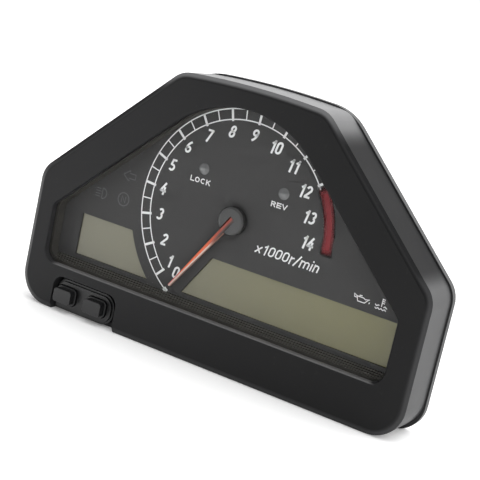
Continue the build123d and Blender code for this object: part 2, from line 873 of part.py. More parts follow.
def clamp_posts():
    """Ribs that press the circuit board home: X and Z."""
    low_x = half_width - bump_inset - bump_wall - clamp_post_radius - clamp_post_side_gap
    low = [(side * low_x, clamp_post_height) for side in (-1, 1)]
    return low + [(side * upper_clamp_x, upper_clamp_height) for side in (-1, 1)]


def make_housing_seal():
    ring = plate(outline(seal_inset), bezel_depth, bezel_depth + seal_depth)
    return ring - plate(outline(seal_inset + seal_width), bezel_depth - cut, bezel_depth + seal_depth + cut)


def make_screw(x, z, radius, head_radius, head_height, seat, length):
    """A pan-head screw driven from behind, with a cross recess."""
    body = disc(x, z, head_radius, seat, seat + head_height)
    body = fillet(body.faces().sort_by(Axis.Y)[-1].edges(), head_height * 0.6)
    reach = head_radius * 1.2
    for width, height in ((reach, cross_width), (cross_width, reach)):
        body -= block(x, z, width, height, seat + head_height * 0.4, seat + head_height + cut)
    return body + disc(x, z, radius, seat - length, seat + head_height * 0.2)


def make_case_screws():
    length = screw_grip + flange_thickness
    return joined([make_screw(x, z, screw_radius, screw_head_radius, screw_head_height, rear_depth, length)
                   for x, z in case_bosses()])


def make_board_screws():
    return joined([make_screw(x, z, board_screw_radius, board_screw_head_radius, board_screw_head_height,
                              board_back, board_screw_length) for x, z in board_posts()])


def make_studs():
    """Shouldered mounting studs, moulded into the back, threaded past their shoulders."""
    studs = []
    for x, z in stud_places():
        stud = disc(x, z, stud_head_radius, stud_head_depth, stud_head_depth + stud_head_thickness)
        stud += disc(x, z, stud_shoulder_radius, stud_head_depth, grommet_back)
        thread = disc(x, z, stud_radius, stud_head_depth, grommet_back + stud_reach)
        stud += chamfer(thread.faces().sort_by(Axis.Y)[-1].edges(), stud_tip)
        studs.append(stud)
    return joined(studs)


def make_grommets():
    """Rubber rings on the studs, with a groove for the bracket."""
    rings = []
    for x, z in stud_places():
        ring = disc(x, z, grommet_radius, stud_boss_depth, grommet_back)
        start = stud_boss_depth + grommet_slot_start
        ring -= disc(x, z, grommet_radius + cut, start, start + grommet_slot)
        ring += disc(x, z, grommet_waist, start, start + grommet_slot)
        rings.append(ring - disc(x, z, stud_shoulder_radius, stud_boss_depth - cut, grommet_back + cut))
    return joined(rings)


# ---- connector and breather ------------------------------------------------------
def boot_sketch():
    """The outline of the socket's rubber collar."""
    width = connector_width + 2 * connector_boot
    tall = connector_tall + 2 * connector_boot
    return Pos(connector_x, connector_height) * RectangleRounded(width, tall, boot_radius)


def make_connector():
    """The harness socket: a deep tray with its mouth at the back."""
    back = bump_depth + connector_proud
    floor = connector_pin_floor()
    body = block(connector_x, connector_height, connector_width, connector_tall,
                 board_back, back, connector_radius)
    inner = connector_width - 2 * connector_wall, connector_tall - 2 * connector_wall
    body -= block(connector_x, connector_height, *inner, floor, back + cut)
    for x, z in pin_places():
        body -= block(x, z, pin_size, pin_size, board_back - cut, floor + cut)
    return body


def connector_pin_floor():
    """Depth of the socket's floor."""
    return bump_depth + connector_proud - connector_cavity


def pin_places():
    left = connector_x - (pin_columns - 1) / 2 * pin_pitch
    low = connector_height - (pin_rows - 1) / 2 * row_pitch
    return [(left + column * pin_pitch, low + row * row_pitch)
            for column in range(pin_columns) for row in range(pin_rows)]


def make_connector_pins():
    return joined([block(x, z, pin_size, pin_size, board_back, connector_pin_floor() + pin_reach)
                   for x, z in pin_places()])


def make_connector_seal():
    """The rubber collar between the socket and the rear housing."""
    collar = plate(boot_sketch(), bump_depth - bump_wall, bump_depth)
    return collar - block(connector_x, connector_height, connector_width, connector_tall,
                          bump_depth - bump_wall - cut, bump_depth + cut, connector_radius)


def make_vent_cap():
    """A round breather cap over the vent hole, with slots at its foot."""
    body = disc(vent_x, vent_height, vent_radius, bump_depth, bump_depth + vent_thickness)
    body = fillet(body.faces().sort_by(Axis.Y)[-1].edges(), vent_edge)
    body -= disc(vent_x, vent_height, vent_radius - vent_wall, bump_depth - cut, bump_depth + vent_roof)
    for turn in (0, 60, 120):
        slot = Pos(vent_x, vent_height) * Rot(0, 0, turn) * Rectangle(2 * vent_radius + cut, vent_slot_width)
        body -= plate(slot, bump_depth - cut, bump_depth + vent_slot_height)
    return body


def make_vent_membrane():
    radius = vent_radius - membrane_margin
    return disc(vent_x, vent_height, radius, bump_depth, bump_depth + membrane_thickness)


# ---- every node ------------------------------------------------------------------
def nodes():
    """Each separate piece by its name."""
    left, right = left_glass(), right_glass()
    left_key_x, right_key_x = key_x
    return {
        "front_bezel": make_front_bezel(),
        "lens_gasket": make_lens_gasket(),
        "lens": make_lens(),
        "inner_shroud": make_inner_shroud(),
        "dial_plate": make_dial_plate(),
        "left_tell_tale": make_tell_tale(-tell_tale_x),
        "right_tell_tale": make_tell_tale(tell_tale_x),
        "left_display": make_panel(left),
        "right_display": make_panel(right),
        "left_contact_strip": make_contact_strip(left),
        "right_contact_strip": make_contact_strip(right),
        "left_light_guide": make_panel_guide(left),
        "right_light_guide": make_panel_guide(right),
        "dial_diffuser": make_dial_diffuser(),
        "reflector_box": make_reflector(),
        "circuit_board": make_circuit_board(),
        "processor": make_chip(processor_place, processor_size),
        "processor_legs": make_chip_legs(processor_place, processor_size),
        "display_driver": make_chip(driver_place, driver_size),
        "display_driver_legs": make_chip_legs(driver_place, driver_size),
        "capacitors": make_capacitors(),
        "voltage_regulator": make_regulator(),
        "resistors": make_resistors(),
        "dial_lamps": make_leds(dial_lamp_places()),
        "panel_lamps": make_leds(panel_lamp_places()),
        "tell_tale_lamps": make_leds([(-tell_tale_x, tell_tale_height), (tell_tale_x, tell_tale_height)]),
        "left_switch": make_switch(left_key_x),
        "right_switch": make_switch(right_key_x),
        "left_plunger": make_plunger(left_key_x),
        "right_plunger": make_plunger(right_key_x),
        "left_key": make_key(left_key_x),
        "right_key": make_key(right_key_x),
        "key_pad": make_key_pad(),
        "needle_pointer": make_needle_pointer(),
        "needle_cap": make_needle_cap(),
        "needle_spindle": make_spindle(),
        "movement_rotor": make_rotor(),
        "movement_base": make_movement_base(),
        "front_bobbin": make_bobbin_half(True),
        "rear_bobbin": make_bobbin_half(False),
        "inner_coil": make_coil(False, False),
        "outer_coil": make_coil(True, True),
        "movement_can": make_can(),
        "movement_terminals": make_terminals(),
        "rear_housing": make_rear_housing(),
        "housing_seal": make_housing_seal(),
        "case_screws": make_case_screws(),
        "board_screws": make_board_screws(),
        "mounting_studs": make_studs(),
        "stud_grommets": make_grommets(),
        "connector_socket": make_connector(),
        "connector_pins": make_connector_pins(),
        "connector_seal": make_connector_seal(),
        "vent_cap": make_vent_cap(),
        "vent_membrane": make_vent_membrane(),
    }


os.makedirs("parts", exist_ok=True)
for name, shape in nodes().items():
    export_step(shape, f"parts/{name}.step")
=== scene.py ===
"""Looks of a motorcycle instrument cluster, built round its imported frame.

The frame gives every casing, lens, key and screw. This file adds the dial's print, the
threads of the studs and a procedural material for every surface, then the stage.
"""

import json
import math

import bpy
import numpy as np
from mathutils import Matrix, Vector


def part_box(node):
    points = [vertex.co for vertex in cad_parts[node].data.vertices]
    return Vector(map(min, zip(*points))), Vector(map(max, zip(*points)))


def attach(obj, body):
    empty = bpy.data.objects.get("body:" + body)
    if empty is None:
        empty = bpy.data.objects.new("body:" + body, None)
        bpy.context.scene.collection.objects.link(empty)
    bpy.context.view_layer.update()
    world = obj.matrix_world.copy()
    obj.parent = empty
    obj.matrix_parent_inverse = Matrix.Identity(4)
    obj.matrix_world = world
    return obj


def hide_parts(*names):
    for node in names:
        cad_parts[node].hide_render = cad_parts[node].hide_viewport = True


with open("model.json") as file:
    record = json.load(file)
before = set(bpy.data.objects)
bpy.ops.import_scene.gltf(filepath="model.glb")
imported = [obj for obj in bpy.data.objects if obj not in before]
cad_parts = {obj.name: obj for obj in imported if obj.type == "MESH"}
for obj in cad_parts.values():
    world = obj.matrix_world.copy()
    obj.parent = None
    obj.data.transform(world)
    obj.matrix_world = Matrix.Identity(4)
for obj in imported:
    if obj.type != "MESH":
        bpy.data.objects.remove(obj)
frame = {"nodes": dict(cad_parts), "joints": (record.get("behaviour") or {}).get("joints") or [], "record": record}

bl_info = {
    "name": "Instrument Cluster Looks",
    "version": (1, 0, 0),
    "blender": (4, 5, 0),
    "location": "3D View > Sidebar > Cluster",
    "description": "Dial print, threads, materials and stage of an instrument cluster",
    "category": "Object",
}

MM = 0.001
NEEDLE_AXIS = next(joint for joint in frame["joints"] if joint["name"] == "needle_turn")["pos_m"]
DIAL_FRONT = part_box("dial_plate")[0].y
BEZEL_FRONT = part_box("front_bezel")[0].y
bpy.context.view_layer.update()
PRINT_THICKNESS = 0.04 * MM
PRINT_FRONT = DIAL_FRONT - PRINT_THICKNESS
RED_INNER = 51.2 * MM
RED_OUTER = 58.4 * MM
RED_START = 35.0  # degrees, as all angles in the dial's plane, anticlockwise from the right
RED_END = -3.0
NEEDLE_REST = 236.9
STUD_TURNS = (30.0, 150.0, 270.0)
LENS_REBATE = 1.8 * MM  # how far the lens reaches past the window's edge
THREAD_DEPTH = 0.6 * MM
FINISHES = {}


# ---- surfaces --------------------------------------------------------------------
def link_mesh(name, points, faces, material, body="housing", smooth=False):
    """Makes a mesh object in the row frame that rides on a body."""
    mesh = bpy.data.meshes.new(name)
    mesh.from_pydata(np.asarray(points).tolist(), [], [list(map(int, face)) for face in faces])
    mesh.validate()
    mesh.update()
    if smooth:
        mesh.shade_smooth()
    piece = bpy.data.objects.new(name, mesh)
    bpy.context.scene.collection.objects.link(piece)
    piece.data.materials.append(material)
    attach(piece, body)
    return piece


def merged(parts):
    """Joins (points, faces) pairs into one: each pair's faces are shifted past the points before it."""
    counts = np.cumsum([0] + [len(points) for points, _ in parts])
    points = np.concatenate([points for points, _ in parts])
    faces = [tuple(index + start for index in face) for (_, own), start in zip(parts, counts) for face in own]
    return points, faces


def ribbon(line, width, front, thickness, closed=False):
    """A flat bar along a line in X and Z.

    Each point of the line has a left and a right edge, half the width away along the
    line's own normal, at the front and again a thickness behind it. The four rows of
    points are joined round the section, and an open line's ends are closed.
    """
    line = np.asarray(line, float)
    half = np.broadcast_to(np.asarray(width, float) / 2, (len(line),))[:, None]
    if closed:
        ahead = np.roll(line, -1, 0) - np.roll(line, 1, 0)
    else:
        ahead = np.gradient(line, axis=0)
    ahead /= np.maximum(np.linalg.norm(ahead, axis=1), 1e-12)[:, None]
    normal = np.stack([-ahead[:, 1], ahead[:, 0]], 1)
    left, right = line + normal * half, line - normal * half
    rows = []
    for edge, depth in ((left, front), (right, front), (right, front + thickness), (left, front + thickness)):
        rows.append(np.stack([edge[:, 0], np.full(len(line), depth), edge[:, 1]], 1))
    points = np.concatenate(rows)
    count = len(line)
    last = count if closed else count - 1
    faces = []
    for row in range(4):
        here, there = row * count, (row + 1) % 4 * count
        start = np.arange(last)
        ahead_of = (start + 1) % count
        faces += np.stack([here + start, there + start, there + ahead_of, here + ahead_of], 1).tolist()
    if not closed:
        ends = np.arange(4) * count
        faces += [ends[::-1].tolist(), (ends + count - 1).tolist()]
    return points, faces


def arc(radius, start, end, centre=(0.0, NEEDLE_AXIS[2]), count=72):
    """Points round a centre from one angle to another, in degrees anticlockwise from +X."""
    turn = np.radians(np.linspace(start, end, count))
    return np.stack([centre[0] + radius * np.cos(turn), centre[1] + radius * np.sin(turn)], 1)


def radial(angle, inner, outer, count=5):
    """A short straight line that points away from the needle's axis."""
    turn = math.radians(angle)
    reach = np.linspace(inner, outer, count)
    return np.stack([reach * math.cos(turn), NEEDLE_AXIS[2] + reach * math.sin(turn)], 1)


def smooth_line(points, per_span=8):
    """A line through given points, rounded by a Catmull-Rom blend of each four in a row."""
    points = np.asarray(points, float)
    padded = np.concatenate([[2 * points[0] - points[1]], points, [2 * points[-1] - points[-2]]])
    t = np.linspace(0, 1, per_span, endpoint=False)[:, None]
    spans = []
    for a, b, c, d in zip(padded, padded[1:], padded[2:], padded[3:]):
        bend = (2 * a - 5 * b + 4 * c - d) * t**2
        twist = (3 * b - a - 3 * c + d) * t**3
        spans.append(0.5 * (2 * b + (c - a) * t + bend + twist))
    return np.concatenate(spans + [points[-1:]])


def threaded_bar(x, z, start, end, major, depth, pitch, turn_steps=32, rows_per_turn=6):
    """A threaded bar along Y.

    The radius is the major radius less the depth times a triangle wave of (distance along
    the axis / pitch - turn / full turn), which is a helix. It narrows at the free end.
    """
    rows = int((end - start) / pitch * rows_per_turn)
    along = np.linspace(start, end, rows)[:, None]
    turn = np.linspace(0, 2 * math.pi, turn_steps, endpoint=False)[None, :]
    phase = (along - start) / pitch - turn / (2 * math.pi)
    wave = np.abs(2 * (phase - np.floor(phase)) - 1)
    lead = np.clip((end - along) / pitch, 0, 1) * 0.8 + 0.2
    radius = major - depth * (1 - wave * lead)
    grid = np.stack([x + radius * np.cos(turn), along + 0 * turn, z + radius * np.sin(turn)], 2)
    index = np.arange(rows * turn_steps).reshape(rows, turn_steps)
    beside = np.roll(index, -1, 1)
    faces = np.stack([index[:-1], index[1:], beside[1:], beside[:-1]], 2).reshape(-1, 4).tolist()
    faces += [index[0].tolist(), index[-1][::-1].tolist()]
    return grid.reshape(-1, 3), faces


def turned_bar(x, z, along, radii, turn_steps=48):
    """A round bar along Y, closed at both ends: each ring's radius belongs to one place along it."""
    turn = np.linspace(0, 2 * math.pi, turn_steps, endpoint=False)[None, :]
    along, radii = np.asarray(along, float)[:, None], np.asarray(radii, float)[:, None]
    grid = np.stack([x + radii * np.cos(turn), along + 0 * turn, z + radii * np.sin(turn)], 2)
    index = np.arange(grid.shape[0] * turn_steps).reshape(-1, turn_steps)
    beside = np.roll(index, -1, 1)
    faces = np.stack([index[:-1], index[1:], beside[1:], beside[:-1]], 2).reshape(-1, 4).tolist()
    return grid.reshape(-1, 3), faces + [index[0].tolist(), index[-1][::-1].tolist()]


def bow(x, z, across, up, start, end, count=22):
    """Part of an ellipse, from one angle to another."""
    turn = np.radians(np.linspace(start, end, count))
    return np.stack([x + across * np.cos(turn), z + up * np.sin(turn)], 1)


def run(*pieces):
    """Curves and points in a row, as one line."""
    return np.concatenate([np.atleast_2d(np.asarray(piece, float)) for piece in pieces])


def strokes_of(letter):
    """A letter's strokes on a height of 1: arrays are curves, lists are straight with sharp corners."""
    ring_top = bow(0.25, 0.71, 0.17, 0.20, 0, 360, 36)
    ring_low = bow(0.25, 0.29, 0.20, 0.21, 0, 360, 36)
    arch = bow(0.25, 0.46, 0.17, 0.19, 180, 0)
    stem = [(0.08, 0.0), (0.08, 0.70)]
    tall = [(0.08, 0.0), (0.08, 1.0)]
    tail = smooth_line([(0.10, 0.06), (0.28, 0.22), (0.41, 0.46), (0.45, 0.70)])
    top_bowl = run((0.08, 0.92), bow(0.28, 0.71, 0.19, 0.21, 90, -90), (0.08, 0.50))
    letters = {
        "0": [run(bow(0.25, 0.70, 0.20, 0.22, 0, 180), bow(0.25, 0.30, 0.20, 0.22, 180, 360), (0.45, 0.70))],
        "1": [[(0.12, 0.76), (0.30, 0.92)], [(0.30, 0.98), (0.30, 0.0)]],
        "2": [run(bow(0.25, 0.70, 0.19, 0.22, 165, -30), (0.06, 0.10)), [(0.06, 0.08), (0.46, 0.08)]],
        "3": [bow(0.23, 0.70, 0.18, 0.21, 150, -80), bow(0.23, 0.29, 0.21, 0.21, 80, -150)],
        "4": [[(0.32, 0.94), (0.03, 0.28), (0.50, 0.28)], [(0.36, 0.58), (0.36, 0.0)]],
        "5": [[(0.44, 0.92), (0.14, 0.92), (0.10, 0.52)], bow(0.23, 0.30, 0.21, 0.22, 115, -150)],
        "6": [ring_low, smooth_line([(0.40, 0.94), (0.22, 0.78), (0.09, 0.54), (0.05, 0.30)])],
        "7": [[(0.05, 0.92), (0.46, 0.92), (0.20, 0.0)]],
        "8": [ring_top, ring_low],
        "9": [bow(0.25, 0.71, 0.20, 0.21, 0, 360, 36), tail],
        "x": [[(0.02, 0.06), (0.42, 0.64)], [(0.02, 0.64), (0.42, 0.06)]],
        "r": [stem, bow(0.30, 0.42, 0.21, 0.21, 165, 75)],
        "/": [[(0.0, -0.04), (0.34, 1.0)]],
        "m": [stem, run(arch, (0.42, 0.0)), run(arch + (0.34, 0.0), (0.76, 0.0))],
        "i": [[(0.08, 0.0), (0.08, 0.64)], [(0.08, 0.90), (0.08, 0.96)]],
        "n": [stem, run(arch, (0.42, 0.0))],
        "L": [[(0.08, 1.0), (0.08, 0.08), (0.48, 0.08)]],
        "O": [bow(0.30, 0.5, 0.24, 0.43, 0, 360, 40)],
        "C": [bow(0.32, 0.5, 0.26, 0.43, 50, 310)],
        "K": [tall, [(0.50, 0.98), (0.10, 0.42)], [(0.22, 0.58), (0.52, 0.02)]],
        "R": [tall, top_bowl, [(0.28, 0.48), (0.48, 0.02)]],
        "E": [tall] + [[(0.08, height), (0.46, height)] for height in (0.08, 0.5, 0.92)],
        "V": [[(0.03, 0.98), (0.27, 0.04), (0.51, 0.98)]],
    }
    return letters[letter]


ADVANCE = {"1": 0.54, "x": 0.56, "r": 0.46, "/": 0.44, "m": 0.92, "i": 0.24, "n": 0.56, "O": 0.74, "C": 0.70}


def lettering(name, text, height, centre, width, weight, lean, stretch, material):
    """Raised print made of strokes: ribbons along each letter's lines, leant over and centred."""
    parts = []
    pen = 0.0
    for letter in text:
        for stroke in strokes_of(letter):
            line = np.asarray(stroke, float)
            lines = [line] if isinstance(stroke, np.ndarray) else zip(line, line[1:])
            for each in lines:
                each = np.array(each)
                if len(each) == 2:
                    along = (each[1] - each[0]) / np.linalg.norm(each[1] - each[0])
                    each = each + np.stack([-along, along]) * weight * 0.3
                parts.append(each + (pen, 0.0))
        pen += ADVANCE.get(letter, 0.62)
    every = np.concatenate(parts)
    slanted = every[:, 0] + every[:, 1] * lean
    middle = (slanted.min() + slanted.max()) / 2
    scale = stretch * height if width is None else width / (np.ptp(slanted) + weight)
    ribbons = []
    for each in parts:
        x = (each[:, 0] + each[:, 1] * lean - middle) * scale + centre[0]
        z = (each[:, 1] - 0.5) * height + centre[1]
        ribbons.append(ribbon(np.stack([x, z], 1), weight * height, PRINT_FRONT, PRINT_THICKNESS))
    points, faces = merged(ribbons)
    return link_mesh(name, points, faces, material)


# ---- shader maths ----------------------------------------------------------------
class Wire:
    """A shader socket. Python's operators add the Math node that works the result out."""

    def __init__(self, tree, socket):
        self.tree = tree
        self.socket = socket

    def math(self, operation, other):
        return add_node(self.tree, "ShaderNodeMath", {"operation": operation}, {0: self, 1: other})

    def __add__(self, other):
        return self.math("ADD", other)

    __radd__ = __add__

    def __sub__(self, other):
        return self.math("SUBTRACT", other)

    def __rsub__(self, other):
        return add_node(self.tree, "ShaderNodeMath", {"operation": "SUBTRACT"}, {0: other, 1: self})

    def __mul__(self, other):
        return self.math("MULTIPLY", other)

    __rmul__ = __mul__

    def __truediv__(self, other):
        return self.math("DIVIDE", other)

    def __pow__(self, other):
        return self.math("POWER", other)


def add_node(tree, kind, settings, inputs, output=0):
    """Adds a node: its settings first, then a value or a link for each socket named."""
    node = tree.nodes.new(kind)
    for name, value in settings.items():
        if name == "stops":
            ramp = node.color_ramp
            while len(ramp.elements) < len(value):
                ramp.elements.new(0.5)
            for element, (position, colour) in zip(ramp.elements, value):
                element.position = position
                element.color = (*colour, 1.0)
        else:
            setattr(node, name, value)
    for name, value in inputs.items():
        if isinstance(value, Wire):
            tree.links.new(value.socket, node.inputs[name])
        else:
            node.inputs[name].default_value = value
    return Wire(tree, node.outputs[output])


class Finish:
    """A material with one Principled shader, and the helpers that its patterns use."""

    def __init__(self, name):
        self.material = bpy.data.materials.get(name) or bpy.data.materials.new(name)
        self.material.use_nodes = True
        self.tree = self.material.node_tree
        self.tree.nodes.clear()
        self.shader = self.tree.nodes.new("ShaderNodeBsdfPrincipled")
        self.output = self.tree.nodes.new("ShaderNodeOutputMaterial")
        self.tree.links.new(self.shader.outputs["BSDF"], self.output.inputs["Surface"])
        self.place = add_node(self.tree, "ShaderNodeTexCoord", {}, {}, "Object")

    def set(self, **sockets):
        """Sets or links the shader's sockets: underscores in a name stand for spaces."""
        for name, value in sockets.items():
            socket = self.shader.inputs[name.replace("_", " ")]
            if isinstance(value, Wire):
                self.tree.links.new(value.socket, socket)
            else:
                socket.default_value = value
        return self

    def noise(self, scale, detail=2.0, roughness=0.5):
        inputs = {"Vector": self.place, "Scale": scale, "Detail": detail, "Roughness": roughness}
        return add_node(self.tree, "ShaderNodeTexNoise", {}, inputs)

    def axis(self, letter):
        """One coordinate of the place, in metres."""
        return add_node(self.tree, "ShaderNodeSeparateXYZ", {}, {"Vector": self.place}, letter)

    def fade(self, value, low, high, to_low=0.0, to_high=1.0):
        """A smooth change from one number to another as value goes from low to high."""
        settings = {"interpolation_type": "SMOOTHSTEP"}
        inputs = {"Value": value, "From Min": low, "From Max": high, "To Min": to_low, "To Max": to_high}
        return add_node(self.tree, "ShaderNodeMapRange", settings, inputs)

    def blend(self, factor, first, second):
        """A colour between two others."""
        node = self.tree.nodes.new("ShaderNodeMix")
        node.data_type = "RGBA"
        for socket, value in ((node.inputs[0], factor), (node.inputs[6], first), (node.inputs[7], second)):
            if isinstance(value, Wire):
                self.tree.links.new(value.socket, socket)
            else:
                socket.default_value = value if isinstance(value, float) else (*value[:3], 1.0)
        return Wire(self.tree, node.outputs[2])

    def bump(self, height, depth):
        inputs = {"Height": height, "Distance": depth, "Strength": 1.0}
        return self.set(Normal=add_node(self.tree, "ShaderNodeBump", {}, inputs, "Normal"))


def linear(red, green, blue):
    """A display colour from 0 to 255 as the shader's linear colour."""
    channels = np.array([red, green, blue]) / 255
    curved = ((channels + 0.055) / 1.055) ** 2.4
    return tuple(np.where(channels <= 0.04045, channels / 12.92, curved).tolist())


def moulded(name, colour, roughness, grain=2200.0, depth=0.003, mottle=0.25, specular=0.5):
    """Moulded plastic: a fine spark-eroded grain, slow patches of gloss and a little dust."""
    finish = Finish(name)
    patches = finish.noise(38.0, 4.0, 0.6)
    fine = finish.noise(grain, 3.0, 0.6)
    dust = finish.fade(finish.noise(420.0, 5.0, 0.7), 0.60, 0.78)
    paler = tuple(channel * (1 + mottle) + 0.0012 for channel in colour)
    base = finish.blend(patches, colour, paler)
    finish.set(Base_Color=finish.blend(dust * 0.06, base, (0.35, 0.34, 0.33)))
    finish.set(Roughness=patches * 0.10 + fine * 0.04 + (roughness - 0.07))
    finish.shader.inputs["Specular IOR Level"].default_value = specular
    return finish.bump(fine, depth * MM)


def make_finishes():
    """One material for each of the record's slots, and those of the dial's print."""
    made = {}
    made["bezel_plastic"] = bezel_finish()
    made["housing_plastic"] = moulded("housing_plastic", linear(34, 34, 35), 0.5, 1500.0, 0.006, 0.25, 0.35)
    made["shroud_plastic"] = moulded("shroud_plastic", linear(72, 70, 67), 0.6, 900.0, 0.0, 0.05, 0.1)
    made["cap_plastic"] = moulded("cap_plastic", linear(42, 41, 41), 0.25, 3000.0, 0.0005, 0.1, 0.6)
    made["switch_plastic"] = moulded("switch_plastic", linear(30, 30, 31), 0.5)
    made["chip_plastic"] = moulded("chip_plastic", linear(28, 28, 30), 0.6, 4000.0)
    made["socket_plastic"] = moulded("socket_plastic", linear(52, 52, 54), 0.45)
    made["white_plastic"] = moulded("white_plastic", linear(225, 225, 220), 0.5, mottle=0.02)
    made["bobbin_plastic"] = moulded("bobbin_plastic", linear(214, 206, 182), 0.45, mottle=0.03)
    made["key_rubber"] = moulded("key_rubber", linear(20, 20, 21), 0.34, 3200.0, 0.0008, 0.2, 0.5)
    made["seal_rubber"] = moulded("seal_rubber", linear(28, 28, 28), 0.65, 1800.0, 0.008, 0.3, 0.3)
    made["foam_gasket"] = moulded("foam_gasket", linear(18, 18, 18), 0.9, 900.0, 0.05, 0.3, 0.1)
    made["dial_print"] = dial_finish()
    made["clear_lens"] = lens_finish()
    made["tell_tale_lens"] = tell_tale_finish()
    made["display_glass"] = display_finish()
    made["needle_orange"] = needle_finish()
    made["contact_rubber"] = striped("contact_rubber", linear(150, 150, 155), linear(60, 60, 65), 2600.0)
    made["copper_wire"] = striped("copper_wire", linear(196, 112, 62), linear(120, 60, 30), 4200.0, 0.8)
    made["clear_guide"] = moulded("clear_guide", linear(226, 230, 230), 0.2, 800.0, 0.004, 0.02)
    made["lamp"] = moulded("lamp", linear(235, 220, 160), 0.25, 900.0, 0.004, 0.05)
    made["board_laminate"] = board_finish()
    made["tinned_metal"] = metal("tinned_metal", linear(196, 196, 200), 0.32)
    made["steel"] = metal("steel", linear(186, 184, 176), 0.34)
    made["capacitor_can"] = metal("capacitor_can", linear(150, 152, 158), 0.3)
    made["magnet"] = moulded("magnet", linear(48, 48, 50), 0.5, 2400.0, 0.02)
    made["membrane"] = moulded("membrane", linear(205, 205, 205), 0.9, 2600.0, 0.05, 0.02)
    made["white_print"] = print_finish("white_print", linear(236, 236, 236))
    made["faint_print"] = print_finish("faint_print", linear(88, 88, 89))
    made["red_print"] = red_zone_finish()
    return {name: finish.material for name, finish in made.items()}


def bezel_finish():
    """Black moulded plastic with painted light: painted shade makes the face blacker towards the right, the side
    walls are painted lighter and the top wall lighter still, the slanted walls carry painted shade, and a painted
    highlight runs along the window's sill.
    """
    finish = Finish("bezel_plastic")
    patches = finish.noise(38.0, 4.0, 0.6)
    fine = finish.noise(2600.0, 3.0, 0.6)
    # painted shade: the face's colour goes from dark grey on the left to nearly black on the right
    across = finish.fade(finish.axis("X"), -0.09, 0.11)
    behind = finish.fade(finish.axis("Y"), BEZEL_FRONT + 0.2 * MM, BEZEL_FRONT + 1.2 * MM)
    face = finish.blend(across, linear(24, 24, 25), linear(2, 2, 3))
    rise = finish.axis("Z")
    # painted light: the side walls are painted lighter than the face, and the top wall lighter still
    wall = finish.blend(finish.fade(rise, 135 * MM, 149 * MM), linear(46, 46, 47), linear(96, 96, 97))
    # painted shade: the slanted walls are painted darker; the same mask also makes them rougher
    slant = finish.fade(rise, 78 * MM, 86 * MM) * finish.fade(rise, 133 * MM, 142 * MM, 1.0, 0.0) * behind
    wall = finish.blend(slant, wall, linear(22, 22, 23))
    shade = finish.blend(behind, face, wall)
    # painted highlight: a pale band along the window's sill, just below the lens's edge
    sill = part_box("lens")[0].z + LENS_REBATE
    above = finish.fade(rise, sill, sill + 0.3 * MM, 1.0, 0.0)
    wear_and_sill_highlight = finish.fade(rise, sill - 0.9 * MM, sill - 0.5 * MM) * above
    within = finish.fade(finish.axis("X") ** 2.0, 0.097 ** 2, 0.102 ** 2, 1.0, 0.0)
    shade = finish.blend(wear_and_sill_highlight * within, shade, linear(92, 92, 92))
    dust = finish.fade(finish.noise(420.0, 5.0, 0.7), 0.60, 0.78)
    finish.set(Base_Color=finish.blend(dust * 0.03, shade, (0.35, 0.34, 0.33)))
    finish.set(Roughness=patches * 0.10 + fine * 0.06 + slant * 0.4 + 0.36)
    finish.shader.inputs["Specular IOR Level"].default_value = 0.22
    return finish.bump(fine, 0.001 * MM)


def dial_finish():
    """Screen-printed matt grey, partly the print's own and partly lifted as a painted reflection for the lens's
    haze, with slow shade changes and the print's fine tooth.
    """
    finish = Finish("dial_print")
    slow = finish.noise(14.0, 2.0)
    tooth = finish.noise(3200.0, 2.0)
    # the grey is partly the print's own colour and partly a painted reflection standing in for the lens's haze
    finish.set(Base_Color=finish.blend(slow, linear(66, 65, 65), linear(70, 69, 69)))
    finish.set(Roughness=tooth * 0.06 + 0.6)
    finish.shader.inputs["Specular IOR Level"].default_value = 0.15
    return finish.bump(tooth, 0.0001 * MM)


def lens_finish():
    """Clear acrylic: see-through, with gloss on its outer faces that grows at shallow angles."""
    finish = Finish("clear_lens")
    clear = add_node(finish.tree, "ShaderNodeBsdfTransparent", {}, {"Color": (0.985, 0.99, 0.99, 1.0)})
    white = (1.0, 1.0, 1.0, 1.0)
    gloss = add_node(finish.tree, "ShaderNodeBsdfAnisotropic", {}, {"Color": white, "Roughness": 0.1})
    grazing = add_node(finish.tree, "ShaderNodeLayerWeight", {}, {"Blend": 0.5}, "Facing")
    inside = add_node(finish.tree, "ShaderNodeNewGeometry", {}, {}, "Backfacing")
    share = grazing ** 4.0 * 0.4 * (1.0 - inside)
    film = add_node(finish.tree, "ShaderNodeMixShader", {}, {0: share, 1: clear, 2: gloss})
    finish.tree.links.new(film.socket, finish.output.inputs["Surface"])
    finish.tree.nodes.remove(finish.shader)
    return finish


def tell_tale_finish():
    """A smoked clear dome over an unlit lamp."""
    finish = Finish("tell_tale_lens")
    ring = finish.noise(500.0, 2.0)
    finish.set(Base_Color=finish.blend(ring, linear(84, 84, 85), linear(98, 98, 98)), Roughness=0.12)
    finish.set(Coat_Weight=0.6)
    return finish.bump(ring, 0.004 * MM)


def display_finish():
    """An unlit liquid-crystal cell: grey-green, more olive to the right, with faint lighter patches."""
    finish = Finish("display_glass")
    across = finish.fade(finish.axis("X"), -0.09, 0.10)
    haze = finish.noise(22.0, 2.0)
    left = linear(118, 115, 99)
    right = linear(110, 106, 73)
    finish.set(Base_Color=finish.blend(haze * 0.12, finish.blend(across, left, right), linear(140, 138, 120)))
    finish.set(Roughness=haze * 0.1 + 0.2)
    return finish


